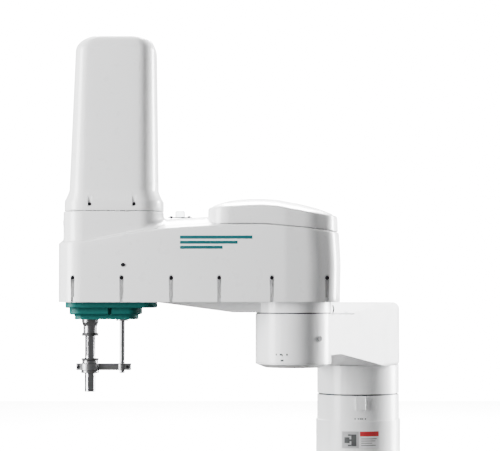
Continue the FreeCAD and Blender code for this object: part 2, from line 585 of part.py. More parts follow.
save("j3_belt", belt(M3_U, M3_V, 14.1, SCREW_U, SCREW_V, 20.1, 522, 538), P2)
save("j4_belt", belt(M4_U, M4_V, 12.1, L2, 0, 24.1, 492, 508), P2)


def pulley(r, z0, z1, x, y, bore, rf=2.5):
    s = fuse(cyl(r, z0, z1, x, y), cyl(r + rf, z0 - 1.5, z0, x, y), cyl(r + rf, z1, z1 + 1.5, x, y))
    return s.cut(cyl(bore, z0 - 3, z1 + 3, x, y))


save("j3_motor_pulley", fuse(pulley(14.0, 521, 539, M3_U, M3_V, 0.001), cyl(6.3, 539, Z_BR + 30, M3_U, M3_V)), P2)
save("j4_motor_pulley", fuse(pulley(12.0, 491, 509, M4_U, M4_V, 0.001), cyl(6.3, 509, Z_BR + 30, M4_U, M4_V)), P2)
save("ball_screw", fuse(cyl(10.0, 519, 1048, SCREW_U, SCREW_V)), P2)
save("ball_screw_pulley", pulley(20.0, 521, 539, SCREW_U, SCREW_V, 10.0), P2)
ell2 = Part.Ellipse(V(0, 0, 434), 40.3, 38.6)
wg2 = Part.Face(Part.Wire([ell2.toShape()])).extrude(V(0, 0, 14))
wg2 = wg2.fuse(cyl(9.9, 448, 496)).cut(cyl(4.0, 430, 470))
save("j2_wave_generator", wg2, P2)
save("j2_reducer_rings", [ring(75, 50.4, 441.6, 453.2), ring(75, 56.02, 432, 441.5)], P2)

# shaft nut with its sleeve, seal ring and pulley
prof = [(19.5, 376), (19.5, 383), (16.2, 383.5), (16.2, 398), (18.0, 404), (19.7, 409), (19.7, 490), (22.0, 490)]
nut = fuse(cyl(16.2, 383, 399, L2, 0), cone(16.2, 19.7, 399, 408, L2, 0), cyl(19.7, 408, 520, L2, 0)).cut(cyl(R_SPLINE + 0.05, 370, 530, L2, 0))
save("spline_nut", nut, P2)
save("nut_seal_ring", ring(19.5, R_SPLINE + 0.05, 376, 383, L2, 0), P2)
save("spline_nut_pulley", pulley(24.0, 491, 509, L2, 0, 19.7), P2)

# lamp on its plate
lp = fuse(prism(rrect(LAMP_U - 28, LAMP_U + 28, -12, 12, 5), 651.5, 653.5))
lp = lp.common(lp)
save("lamp_plate", cut(lp, cyl(3.0, 640, 660, LAMP_U, 0), cyl(1.7, 640, 660, LAMP_U - 21, 0), cyl(1.7, 640, 660, LAMP_U + 21, 0)), P2)
lens = fillet(cyl(11, 653.5, 668, LAMP_U, 0), 4, lambda e: e.BoundBox.ZMin > 667)
save("lamp_lens", lens, P2)

sp = cyl_y(3.0, 80, 92, 393, 541).fuse(cyl_y(4.6, 90.2, 91.4, 393, 541))
save("side_plug", sp, P2)

# ---------------------------------------------------------------------------
# Z CARRIAGE (slides with J3)
# ---------------------------------------------------------------------------
car = fuse(prism([(L2 - 0, -22, 18), (L2 + 20, -22, 18), (L2 + 20, 22, 18), (L2 - 0, 22, 10), (U_ROD + 5, 16, 6), (388, 16, 6), (388, -16, 6), (SCREW_U - 22, -62, 10), (SCREW_U + 22, -62, 10)], 960, 984))
car = cut(car, cyl(R_SPLINE + 3.6, 950, 990, L2, 0), cyl(R_ROD, 950, 990, U_ROD, 0), cyl(13.0, 950, 990, SCREW_U, SCREW_V))
save("z_carriage", car, P2)
save("ball_nut", fuse(cyl(18, 930, 960, SCREW_U, SCREW_V), cyl(13.0, 960, 986, SCREW_U, SCREW_V)).cut(cyl(10.06, 920, 990, SCREW_U, SCREW_V)), P2)
rod = cyl(R_ROD, 289, 984, U_ROD, 0)
save("guide_rod", fillet(rod, 1.2, lambda e: e.BoundBox.ZMax < 290), P2)

ca = fuse(cyl(24, 296, 312, L2, 0), box(L2 - 96, L2, -9, 9, 296, 312), cyl(11.5, 296, 312, U_ROD, 0), box(L2, L2 + 32, -8, 8, 296, 312))
ca = fillet(ca, 2.5, lambda e: e.BoundBox.ZLength > 15 and (e.BoundBox.XMin > L2 + 31 or e.BoundBox.XMax < L2 - 95))
ca = fillet(ca, 0.8, lambda e: e.BoundBox.ZLength < 0.01)
ca = cut(ca, cyl(17.0, 290, 320, L2, 0), cyl(R_ROD, 290, 320, U_ROD, 0), box(L2 - 97, L2 - 75, -0.8, 0.8, 290, 320),
         box(L2 + 14, L2 + 40, -1.0, 1.0, 290, 320))
ca = cut(ca, cyl_y(2.1, -12, 12, L2 - 88, 304), cyl_y(3.6, 6.0, 12, L2 - 88, 304),
         cyl_y(2.1, -12, 12, L2 + 28, 304), cyl_y(3.6, 5.0, 12, L2 + 28, 304))
save("clamp_arm", ca, P2)


def yscrew(x, z, y0, y1, yh):
    s = cyl_y(2.0, y0, y1, x, z).fuse(cyl_y(3.4, y1, yh, x, z))
    return s.cut(cyl_y(1.6, yh - 1.4, yh + 1, x, z))


save("clamp_screws", [yscrew(L2 - 88, 304, -8.5, 6.0, 9.0), yscrew(L2 + 28, 304, -7.5, 5.0, 8.0)], P2)
save("shaft_bearings", [ring(17.0, R_SPLINE + 0.05, 296.4, 311.6, L2, 0),
                        ring(R_SPLINE + 3.6, R_SPLINE + 0.05, 962, 982, L2, 0)], P2)

# ---------------------------------------------------------------------------
# SHAFT (turns with J4)
# ---------------------------------------------------------------------------
shaft = fuse(cyl(R_SPLINE, 289, Z_SHAFT_HI, L2, 0), cyl(R_SHAFT, Z_SHAFT_LO, 289, L2, 0))
for a in (60, 180, 300):
    gx = L2 + (R_SPLINE + 0.6) * math.cos(math.radians(a))
    gy = (R_SPLINE + 0.6) * math.sin(math.radians(a))
    shaft = shaft.cut(cyl(1.6, 330, 940, gx, gy))
shaft = cut(shaft, cyl(R_BORE, 200, 1100, L2, 0))
save("spline_shaft", shaft, P2)


def collar(ro, z0, z1, ri, ch):
    c = cyl(ro, z0, z1, L2, 0)
    c = fillet(c, ch, lambda e: e.BoundBox.ZLength < 0.01)
    return c.cut(cyl(ri, z0 - 1, z1 + 1, L2, 0))


save("lower_collar", cut(collar(21.0, 289.2, 295.9, R_SPLINE, 1.6)), P2)
save("bumper_ring", cut(collar(20.3, 319, 324, R_SPLINE, 1.4)), P2)
save("shaft_collars", [collar(18.7, 312.4, 319, R_SPLINE, 0.8), collar(17.0, 984.6, 994, R_SPLINE, 1.0)], P2)

# brake release button on the front of the nose
btn = cyl_x(8.0, 529, 538.5, 0, BTN_Z).fuse(cyl_x(11, 526.5, 529, 0, BTN_Z))
btn = fillet(btn, 1.5, lambda e: e.BoundBox.XMin > 538.4)
save("brake_button", btn, P2)
save("brake_switch", box(500, 524.0, -12, 12, BTN_Z - 12, BTN_Z + 12), P2)
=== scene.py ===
import json
import math
import bpy
import bmesh
from mathutils import Vector, Matrix


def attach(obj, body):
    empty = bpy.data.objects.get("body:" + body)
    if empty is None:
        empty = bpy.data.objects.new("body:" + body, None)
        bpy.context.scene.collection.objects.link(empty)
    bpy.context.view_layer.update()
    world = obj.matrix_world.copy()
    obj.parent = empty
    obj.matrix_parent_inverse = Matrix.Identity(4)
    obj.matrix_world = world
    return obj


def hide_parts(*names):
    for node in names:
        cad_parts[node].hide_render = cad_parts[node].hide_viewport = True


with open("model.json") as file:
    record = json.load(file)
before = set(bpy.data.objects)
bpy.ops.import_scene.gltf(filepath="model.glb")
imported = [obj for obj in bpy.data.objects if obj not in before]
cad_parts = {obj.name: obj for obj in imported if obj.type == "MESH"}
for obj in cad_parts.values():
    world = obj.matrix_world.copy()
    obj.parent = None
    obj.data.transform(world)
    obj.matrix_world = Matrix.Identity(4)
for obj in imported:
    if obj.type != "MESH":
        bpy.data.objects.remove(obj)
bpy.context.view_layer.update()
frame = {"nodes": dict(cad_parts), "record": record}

NODES = frame["nodes"]
J2X = 0.525 * math.cos(math.radians(-20.0))
J2Y = 0.525 * math.sin(math.radians(-20.0))
MM = 0.001


def uvz(u, v, z):
    """Link 2 coordinates in millimetres to the row frame in metres."""
    return Vector((J2X + v * MM, J2Y - u * MM, z * MM))


# ---------------------------------------------------------------------------
# materials
# ---------------------------------------------------------------------------
def new_mat(name):
    m = bpy.data.materials.new(name)
    m.use_nodes = True
    nt = m.node_tree
    b = nt.nodes["Principled BSDF"]
    return m, nt, b


def noise(nt, scale, detail=3.0, rough=0.5, vec=None, stretch=None):
    tc = nt.nodes.new("ShaderNodeTexCoord")
    n = nt.nodes.new("ShaderNodeTexNoise")
    n.inputs["Scale"].default_value = scale
    n.inputs["Detail"].default_value = detail
    n.inputs["Roughness"].default_value = rough
    if stretch:
        mp = nt.nodes.new("ShaderNodeMapping")
        mp.inputs["Scale"].default_value = stretch
        nt.links.new(tc.outputs["Object"], mp.inputs["Vector"])
        nt.links.new(mp.outputs["Vector"], n.inputs["Vector"])
    else:
        nt.links.new(tc.outputs["Object"], n.inputs["Vector"])
    return n.outputs["Fac"]


def ramp(nt, fac, stops):
    r = nt.nodes.new("ShaderNodeValToRGB")
    el = r.color_ramp.elements
    while len(el) < len(stops):
        el.new(0.5)
    for e, (p, c) in zip(el, stops):
        e.position = p
        e.color = (c[0], c[1], c[2], 1.0) if isinstance(c, (tuple, list)) else (c, c, c, 1.0)
    nt.links.new(fac, r.inputs["Fac"])
    return r.outputs["Color"]


def mapr(nt, fac, a, b, lo=0.3, hi=0.7):
    m = nt.nodes.new("ShaderNodeMapRange")
    m.inputs["From Min"].default_value = lo
    m.inputs["From Max"].default_value = hi
    m.inputs["To Min"].default_value = a
    m.inputs["To Max"].default_value = b
    nt.links.new(fac, m.inputs["Value"])
    return m.outputs["Result"]


def bump(nt, b, fac, strength, dist, prev=None):
    n = nt.nodes.new("ShaderNodeBump")
    n.inputs["Strength"].default_value = strength
    n.inputs["Distance"].default_value = dist
    nt.links.new(fac, n.inputs["Height"])
    if prev is not None:
        nt.links.new(prev, n.inputs["Normal"])
    nt.links.new(n.outputs["Normal"], b.inputs["Normal"])
    return n.outputs["Normal"]


def painted(name, col, r0, r1, peel=0.10, var=0.03, coat=0.25):
    """Sprayed or moulded white: faint tone drift, fine orange peel, uneven gloss."""
    m, nt, b = new_mat(name)
    big = noise(nt, 6.0, 3.0)
    c0 = tuple(x * (1 - var) for x in col)
    c1 = tuple(min(1.0, x * (1 + var * 0.5)) for x in col)
    nt.links.new(ramp(nt, big, [(0.3, c0), (0.7, c1)]), b.inputs["Base Color"])
    nt.links.new(mapr(nt, noise(nt, 40.0, 4.0), r0, r1), b.inputs["Roughness"])
    n1 = bump(nt, b, noise(nt, 420.0, 2.0), peel, 0.00012)
    bump(nt, b, noise(nt, 1800.0, 2.0), peel * 0.6, 0.00004, n1)
    b.inputs["Coat Weight"].default_value = coat
    b.inputs["Coat Roughness"].default_value = 0.12
    b.inputs["IOR"].default_value = 1.5
    return m


def metal(name, col, r0, r1, stretch=(1, 1, 1), scale=120.0, bstr=0.15, bdist=0.00006, spec_var=0.08):
    m, nt, b = new_mat(name)
    n = noise(nt, scale, 4.0, 0.6, stretch=stretch)
    c0 = tuple(x * (1 - spec_var) for x in col)
    c1 = tuple(min(1.0, x * (1 + spec_var)) for x in col)
    nt.links.new(ramp(nt, n, [(0.3, c0), (0.7, c1)]), b.inputs["Base Color"])
    nt.links.new(mapr(nt, n, r0, r1), b.inputs["Roughness"])
    b.inputs["Metallic"].default_value = 1.0
    bump(nt, b, n, bstr, bdist)
    return m


def matte(name, col, r0, r1, scale=500.0, bstr=0.3, bdist=0.0001, var=0.15):
    m, nt, b = new_mat(name)
    n = noise(nt, scale, 3.0)
    big = noise(nt, 25.0, 3.0)
    c0 = tuple(x * (1 - var) for x in col)
    c1 = tuple(min(1.0, x * (1 + var)) for x in col)
    nt.links.new(ramp(nt, big, [(0.3, c0), (0.7, c1)]), b.inputs["Base Color"])
    nt.links.new(mapr(nt, big, r0, r1), b.inputs["Roughness"])
    bump(nt, b, n, bstr, bdist)
    return m


M = {
    "white_paint": painted("white_paint", (0.800, 0.805, 0.812), 0.30, 0.42, 0.16, 0.03, 0.20),
    "white_shell": painted("white_shell", (0.815, 0.818, 0.822), 0.26, 0.36, 0.07, 0.02, 0.30),
    "teal_paint": painted("teal_paint", (0.0003, 0.082, 0.074), 0.50, 0.62, 0.14, 0.12, 0.0),
    "shaft_chrome": metal("shaft_chrome", (0.27, 0.27, 0.28), 0.16, 0.26, (1, 1, 30), 40.0, 0.06, 0.00003),
    "bright_steel": metal("bright_steel", (0.22, 0.22, 0.225), 0.24, 0.38, (1, 1, 40), 60.0, 0.12, 0.00005),
    "dark_steel": metal("dark_steel", (0.055, 0.055, 0.060), 0.32, 0.50, (1, 1, 1), 300.0, 0.2, 0.00005),
    "reducer_steel": metal("reducer_steel", (0.42, 0.42, 0.43), 0.22, 0.36, (1, 1, 40), 60.0),
    "machined_aluminium": metal("machined_aluminium", (0.66, 0.67, 0.68), 0.25, 0.42, (40, 1, 1), 60.0),
    "clamp_aluminium": metal("clamp_aluminium", (0.24, 0.24, 0.245), 0.30, 0.46, (1, 1, 25), 90.0, 0.25, 0.00008),
    "motor_black": matte("motor_black", (0.022, 0.022, 0.024), 0.45, 0.6, 350.0, 0.35, 0.0002),
    "black_rubber": matte("black_rubber", (0.018, 0.018, 0.019), 0.55, 0.75, 700.0, 0.3, 0.0001),
    "black_plastic": matte("black_plastic", (0.022, 0.022, 0.024), 0.38, 0.5, 600.0, 0.3, 0.0001),
    "label_film": matte("label_film", (0.66, 0.66, 0.67), 0.35, 0.45, 900.0, 0.05, 0.00005, 0.03),
    "label_dark": matte("label_dark", (0.055, 0.058, 0.060), 0.35, 0.45, 900.0, 0.05, 0.00005, 0.25),
    "label_grey": matte("label_grey", (0.34, 0.34, 0.35), 0.35, 0.45, 900.0, 0.05, 0.00005, 0.05),
    "label_red": matte("label_red", (0.42, 0.018, 0.022), 0.35, 0.45, 900.0, 0.05, 0.00005, 0.10),
    "print_teal": matte("print_teal", (0.001, 0.085, 0.095), 0.35, 0.45, 900.0, 0.05, 0.00004, 0.08),
    "print_grey": matte("print_grey", (0.022, 0.022, 0.024), 0.4, 0.5, 900.0, 0.05, 0.00004, 0.15),
}
M["teal_paint"].node_tree.nodes["Principled BSDF"].inputs["Specular IOR Level"].default_value = 0.22
lm, lnt, lb = new_mat("lamp_clear")
lnt.links.new(ramp(lnt, noise(lnt, 60.0), [(0.3, (0.80, 0.84, 0.86)), (0.7, (0.90, 0.92, 0.93))]), lb.inputs["Base Color"])
lnt.links.new(mapr(lnt, noise(lnt, 200.0), 0.08, 0.2), lb.inputs["Roughness"])
lb.inputs["Transmission Weight"].default_value = 0.75
lb.inputs["IOR"].default_value = 1.46
M["lamp_clear"] = lm

SLOT = {s["node"]: s["material_slot"] for s in frame["record"]["subparts"]}
for name, ob in NODES.items():
    ob.data.materials.clear()
    ob.data.materials.append(M[SLOT[name]])
    for p in ob.data.polygons:
        p.use_smooth = True
        p.material_index = 0
    ob.data.set_sharp_from_angle(angle=math.radians(28))
# ---------------------------------------------------------------------------
# mesh helpers
# ---------------------------------------------------------------------------
def add_obj(name, me, mat, body, smooth_angle=32.0):
    ob = bpy.data.objects.new(name, me)
    bpy.context.scene.collection.objects.link(ob)
    me.materials.clear()
    me.materials.append(M[mat])
    for p in me.polygons:
        p.use_smooth = True
        p.material_index = 0
    me.set_sharp_from_angle(angle=math.radians(smooth_angle))
    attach(ob, body)
    return ob


def arc_outline(points, step=4.0):
    """Closed outline of straight runs with tangent arcs, as evenly spaced (x, y) points."""
    n = len(points)
    out = []
    for i in range(n):
        p0 = Vector(points[i - 1][:2])
        p1 = Vector(points[i][:2])
        p2 = Vector(points[(i + 1) % n][:2])
        r = points[i][2]
        a = (p0 - p1).normalized()
        b = (p2 - p1).normalized()
        ang = a.angle(b)
        if r <= 0 or abs(ang - math.pi) < 1e-4:
            out.append(p1)
            continue
        d = r / math.tan(ang / 2)
        s = p1 + a * d
        e = p1 + b * d
        c = p1 + (a + b).normalized() * (r / math.sin(ang / 2))
        a0 = math.atan2(s.y - c.y, s.x - c.x)
        a1 = math.atan2(e.y - c.y, e.x - c.x)
        da = (a1 - a0 + math.pi) % (2 * math.pi) - math.pi
        k = max(3, int(abs(da) * r / step) + 1)
        for j in range(k + 1):
            t = a0 + da * j / k
            out.append(Vector((c.x + r * math.cos(t), c.y + r * math.sin(t))))
    # even spacing along the whole outline
    m = len(out)
    seg = [(out[(i + 1) % m] - out[i]).length for i in range(m)]
    total = sum(seg)
    cnt = int(total / step)
    res = []
    i = 0
    acc = 0.0
    for k in range(cnt):
        want = total * k / cnt
        while acc + seg[i] < want:
            acc += seg[i]
            i += 1
        t = (want - acc) / seg[i] if seg[i] > 1e-9 else 0.0
        res.append(out[i].lerp(out[(i + 1) % m], t))
    return res


def normals2(pts):
    n = len(pts)
    res = []
    for i in range(n):
        t = (pts[(i + 1) % n] - pts[i - 1]).normalized()
        res.append(Vector((t.y, -t.x)))      # outward for a counter-clockwise outline
    return res


def interp(tab, x):
    if x <= tab[0][0]:
        return tab[0][1]
    for (x0, y0), (x1, y1) in zip(tab, tab[1:]):
        if x <= x1:
            t = (x - x0) / (x1 - x0)
            t = t * t * (3 - 2 * t) * 0.35 + t * 0.65
            return y0 + (y1 - y0) * t
    return tab[-1][1]


def ring_mesh(name, rings, place, close_top=True, close_bottom=False):
    """Quads between rings of equal length; the last ring may be closed by merging."""
    me = bpy.data.meshes.new(name)
    n = len(rings[0])
    verts = [place(*p) for r in rings for p in r]
    faces = []
    for k in range(len(rings) - 1):
        for i in range(n):
            j = (i + 1) % n
            faces.append((k * n + i, k * n + j, (k + 1) * n + j, (k + 1) * n + i))
    me.from_pydata([tuple(v) for v in verts], [], faces)
    bm = bmesh.new()
    bm.from_mesh(me)
    bmesh.ops.remove_doubles(bm, verts=bm.verts, dist=0.00025)
    if close_top or close_bottom:
        edges = [e for e in bm.edges if e.is_boundary]
        zs = [0.5 * (e.verts[0].co.z + e.verts[1].co.z) for e in edges]
        if edges:
            mid = 0.5 * (min(zs) + max(zs))
            pick = [e for e, z in zip(edges, zs) if (close_top and z > mid) or (close_bottom and z <= mid)]
            if pick:
                bmesh.ops.holes_fill(bm, edges=pick, sides=0)
    bmesh.ops.dissolve_degenerate(bm, dist=0.0001, edges=bm.edges)
    bmesh.ops.recalc_face_normals(bm, faces=bm.faces)
    bm.to_mesh(me)
    bm.free()
    return me


def apply_mods(ob):
    dg = bpy.context.evaluated_depsgraph_get()
    me = bpy.data.meshes.new_from_object(ob.evaluated_get(dg))
    ob.modifiers.clear()
    ob.data = me
    return me


def shell(me, thick):
    """Give an open skin its wall thickness, inwards."""
    ob = bpy.data.objects.new("tmp_shell", me)
    bpy.context.scene.collection.objects.link(ob)
    m = ob.modifiers.new("s", "SOLIDIFY")
    m.thickness = thick * MM
    m.offset = -1.0
    m.use_even_offset = False
    m.use_rim = True
    out = apply_mods(ob)
    bpy.data.objects.remove(ob)
    return out


def boolean(me, cutters, op="DIFFERENCE"):
    ob = bpy.data.objects.new("tmp_bool", me)
    bpy.context.scene.collection.objects.link(ob)
    co = bpy.data.objects.new("tmp_cut", cutters)
    bpy.context.scene.collection.objects.link(co)
    m = ob.modifiers.new("b", "BOOLEAN")
    m.operation = op
    m.solver = "EXACT"
    m.object = co
    out = apply_mods(ob)
    bpy.data.objects.remove(ob)
    bpy.data.objects.remove(co)
    return out


# ---------------------------------------------------------------------------
# link 2 cover
# ---------------------------------------------------------------------------
U_NOSE, U_REAR = 546.0, -108.0
PTS2 = [(U_NOSE, 85.0, 60), (20, 101.5, 90), (-45, 96.5, 90), (-92, 72, 40), (U_REAR, 30, 28)]
OUT2 = arc_outline([(u, -v, r) for u, v, r in reversed(PTS2)] + PTS2, 4.0)
SIDE_Z = [(-110, 617), (-60, 623), (-23, 627.5), (67, 634.5), (152, 635), (193, 632.5), (239, 630), (298, 626), (340, 620.5),
          (381, 615), (411, 609), (445, 603), (479, 598), (541, 594), (560, 593)]
CROWN = 22.0


def half_w(u):
    best = 0.0
    for p, q in zip(OUT2, OUT2[1:] + OUT2[:1]):
        if (p.x - u) * (q.x - u) <= 0 and abs(p.x - q.x) > 1e-9:
            t = (u - p.x) / (q.x - p.x)
            best = max(best, abs(p.y + (q.y - p.y) * t))
    return best


def medial(p):
    return Vector((min(max(p.x, U_REAR + 98.0), U_NOSE - 78.0), 0.0))


def top_z(u, v):
    w = max(half_w(min(max(u, U_REAR + 1), U_NOSE - 1)), 1.0)
    s = min(1.0, abs(v) / w)
    if u > U_NOSE - 78.0:
        s = max(s, math.hypot(u - (U_NOSE - 78.0), v) / 80.0)
    if u < U_REAR + 98.0:
        s = max(s, math.hypot(u - (U_REAR + 98.0), v) / 100.0)
    s = min(1.0, s)
    return interp(SIDE_Z, u) + CROWN * (1 - s * s)


def bulge(z):
    if z < 545:
        return 2.0 * (z - 455.0) / 90.0
    return 2.0 - 5.0 * (z - 545.0) / 85.0


def body_rings():
    nrm = normals2(OUT2)
    rings = []
    R = 5.0

    def shifted(p, n, z, d=0.0):
        q = p - n * d
        k = bulge(z) if q.x < 60 else 0.0
        f = min(1.0, max(0.0, (60.0 - q.x) / 120.0))
        return (q.x - k * f, q.y, z)
    for z0, d in ((455.2, 0.7), (456.4, 0.0)):
        rings.append([shifted(p, n, z0, d) for p, n in zip(OUT2, nrm)])
    for k in range(1, 9):
        rings.append([shifted(p, n, 456.4 + (interp(SIDE_Z, p.x) - R - 456.4) * k / 8.0) for p, n in zip(OUT2, nrm)])
    for k in range(1, 5):
        a = math.radians(64.0) * k / 4
        rings.append([shifted(p, n, interp(SIDE_Z, p.x) - R + R * math.sin(a), R * (1 - math.cos(a))) for p, n in zip(OUT2, nrm)])
    inset = R * (1 - math.cos(math.radians(64.0)))
    edge = [p - n * inset for p, n in zip(OUT2, nrm)]
    z_edge = [interp(SIDE_Z, p.x) - R + R * math.sin(math.radians(64.0)) for p in OUT2]
    for s in (0.96, 0.9, 0.82, 0.72, 0.6, 0.48, 0.36, 0.24, 0.12, 0.0):
        r = []
        for p, ze in zip(edge, z_edge):
            m = medial(p)
            q = m + (p - m) * s
            zq = interp(SIDE_Z, q.x) + CROWN * (1 - s * s)
            t = (1.0 - s) / 0.1
            if t < 1.0:
                zq = ze + (zq - ze) * t
            k = bulge(620) * min(1.0, max(0.0, (60.0 - p.x) / 120.0)) if p.x < 60 else 0.0
            r.append((q.x - k * s, q.y, zq))
        rings.append(r)
    return rings


skin = ring_mesh("link2_cover", body_rings(), uvz, close_top=True)
# opening under the tower for the shaft, the screw and the carriage
bm = bmesh.new()
bm.from_mesh(skin)
gone = []
for f in bm.faces:
    c = [((J2Y - v.co.y) / MM, (v.co.x - J2X) / MM, v.co.z / MM) for v in f.verts]
    if all(318 < u < 522 and abs(w_) < 73 and z_ > 560 for u, w_, z_ in c):
        gone.append(f)
bmesh.ops.delete(bm, geom=gone, context="FACES")
bm.to_mesh(skin)
bm.free()
cover_me = shell(skin, 4.0)

SLOT_U = (509.0, 396.0, 282.0, 172.0, 51.0, -76.0)


def slot_cutters():
    bm = bmesh.new()
    for su in SLOT_U:
        w = half_w(su)
        for sg in (-1, 1):
            prof = []
            for k in range(13):
                a = math.pi * k / 12
                prof.append((su + 4.9 * math.cos(a), 512.5 + 4.9 * math.sin(a)))
            prof.append((su - 3.9, 452.0))
            prof.append((su + 3.9, 452.0))
            inn, out = sg * (w - 8.0), sg * (w + 9.0)
            a = [bm.verts.new(uvz(x, inn, z)) for x, z in prof]
            b = [bm.verts.new(uvz(x, out, z)) for x, z in prof]
            bm.faces.new(a)
            bm.faces.new(list(reversed(b)))
            n = len(prof)
            for i in range(n):
                j = (i + 1) % n
                bm.faces.new((a[j], a[i], b[i], b[j]))
    bmesh.ops.recalc_face_normals(bm, faces=bm.faces)
    me = bpy.data.meshes.new("cutters")
    bm.to_mesh(me)
    bm.free()
    return me


def slot_backing():
    """Blocks inside the wall that give each slot its depth."""
    bm = bmesh.new()
    for su in SLOT_U:
        w = min(half_w(su), half_w(min(su + 8.5, U_NOSE - 1)), half_w(max(su - 8.5, U_REAR + 1)))
        for sg in (-1, 1):
            y0, y1 = sg * (half_w(su) - 11.0), sg * (w - 1.6)
            c = [bm.verts.new(uvz(su + a, y, z)) for y in (y0, y1) for a, z in ((-8.5, 455.9), (8.5, 455.9), (8.5, 523.0), (-8.5, 523.0))]
            for f in ((0, 1, 2, 3), (7, 6, 5, 4), (0, 4, 5, 1), (1, 5, 6, 2), (2, 6, 7, 3), (3, 7, 4, 0)):
                bm.faces.new([c[i] for i in f])
    bmesh.ops.recalc_face_normals(bm, faces=bm.faces)
    me = bpy.data.meshes.new("backing")
    bm.to_mesh(me)
    bm.free()
    return me


cover_me = boolean(cover_me, slot_backing(), "UNION")
cover_me = boolean(cover_me, slot_cutters())
link2_cover = add_obj("link2_cover", cover_me, "white_shell", "arm2", 30)
bv = None

# pedestal under the tower, with its fillet onto the cover
PED = arc_outline([(305, -85, 50), (534.5, -85, 50), (534.5, 85, 50), (305, 85, 50)], 4.0)


def pedestal_rings():
    nrm = normals2(PED)
    rings = []
    rad = []
    for p, n in zip(PED, nrm):
        q = p
        k = 0.0
        for d in (2, 4, 6, 8, 10, 12, 14):
            t = p + n * d
            w = half_w(min(max(t.x, -100), 545.0))
            if abs(t.y) > w - 1.0 or t.x > U_NOSE - 2.0:
                break
            k = d
        rad.append(max(1.0, k))
    m = len(rad)
    for _ in range(6):
        rad = [min(rad[i], (rad[i - 1] + rad[i] + rad[(i + 1) % m]) / 3 + 0.2) for i in range(m)]
    for k in range(0, 7):
        a = math.radians(90) * k / 6
        r = []
        for p, n, rr in zip(PED, nrm, rad):
            q = p + n * rr * (1 - math.sin(a))
            r.append((q.x, q.y, top_z(q.x, q.y) - 0.8 + rr * (1 - math.cos(a)) * (1.0 if abs(n.x) > 0.3 else 1.0)))
        rings.append(r)
    top = 664.6
    base = [x[2] for x in rings[-1]]
    for k in range(1, 5):
        rings.append([(p.x, p.y, b + (top - 0.8 - b) * k / 4) for p, b in zip(PED, base)])
    rings.append([(p.x - n.x * 0.8, p.y - n.y * 0.8, top) for p, n in zip(PED, nrm)])
    rings.append([(p.x - n.x * 5.0, p.y - n.y * 5.0, top) for p, n in zip(PED, nrm)])
    return rings


ped_me = shell(ring_mesh("tower_pedestal", pedestal_rings(), uvz, close_top=False), 3.0)
add_obj("tower_pedestal", ped_me, "white_shell", "arm2", 30)

# tower: skirt, chamfer, tapered box, rounded top
def rr(x0, x1, hv, r, n=None):
    return [(x0, -hv, r), (x1, -hv, r), (x1, hv, r), (x0, hv, r)]


def fixed_rr(x0, x1, y0, y1, r0, r1, z):
    """Rounded rectangle with the same point count at every size; r0 at the x0 side, r1 at the x1 side."""
    pts = []
    for (cx, cy, r, a0) in ((x1 - r1, y1 - r1, r1, 0), (x0 + r0, y1 - r0, r0, 90), (x0 + r0, y0 + r0, r0, 180), (x1 - r1, y0 + r1, r1, 270)):
        for k in range(15):
            a = math.radians(a0 + 90 * k / 14)
            pts.append((cx + r * math.cos(a), cy + r * math.sin(a), z))
    out = []
    n = len(pts)
    for i in range(n):
        p, q = pts[i], pts[(i + 1) % n]
        out.append(p)
        if (i % 15) == 14:
            for k in range(1, 8):
                t = k / 8.0
                out.append(tuple(p[j] + (q[j] - p[j]) * t for j in range(3)))
    return out


def tower_rings():
    rings = []
    rings.append(fixed_rr(306.5, 530.5, -83.5, 83.5, 48, 48, 666.0))
    rings.append(fixed_rr(305.3, 531.7, -84.7, 84.7, 50, 50, 666.6))
    rings.append(fixed_rr(305, 532, -85, 85, 50, 50, 667.4))
    for z in (674, 682, 688.5):
        rings.append(fixed_rr(305, 532, -85, 85, 50, 50, z))
    rings.append(fixed_rr(305.8, 531.2, -84.5, 84.5, 49.6, 49.6, 690.6))
    for t in (0.25, 0.5, 0.75):
        e = t ** 0.85
        rings.append(fixed_rr(305.8 + 10 * e, 531.2 - 10 * e, -84.5 + 4.2 * e, 84.5 - 4.2 * e, 49.6 - 5 * e, 49.6 - 10 * e, 690.6 + 20.5 * t))
    rings.append(fixed_rr(316.4, 520.8, -80.1, 80.1, 44, 38, 712.4))
    rings.append(fixed_rr(317.0, 520.2, -79.8, 79.8, 44, 38, 715.0))
    for k in range(1, 13):
        t = k / 12.0
        z = 715.0 + (1037.0 - 715.0) * t
        rings.append(fixed_rr(317.0 + 4.6 * t, 520.2 - 13.6 * t, -79.8 + 4.2 * t, 79.8 - 4.2 * t, 44 - 6 * t, 38 - 6 * t, z))
    x0, x1, hv = 321.6, 506.6, 75.6
    for k in range(1, 13):
        a = math.radians(90) * k / 12
        ci, si = 1 - math.cos(a), math.sin(a)
        r0, r1 = 38 - 16 * ci, 32 - 10 * ci
        rings.append(fixed_rr(x0 + 38 * ci, x1 - 57 * ci, -hv + 26 * ci, hv - 26 * ci, r0, r1, 1037.0 + 38.6 * si))
    base = rings[-1]
    cx = sum(p[0] for p in base) / len(base)
    for s, dz in ((0.8, 0.55), (0.55, 0.95), (0.3, 1.2), (0.1, 1.3)):
        rings.append([(cx + (p[0] - cx) * s, p[1] * s, p[2] + dz) for p in base])
    return rings


tower_me = shell(ring_mesh("tower_shell", tower_rings(), uvz, close_top=True), 3.5)


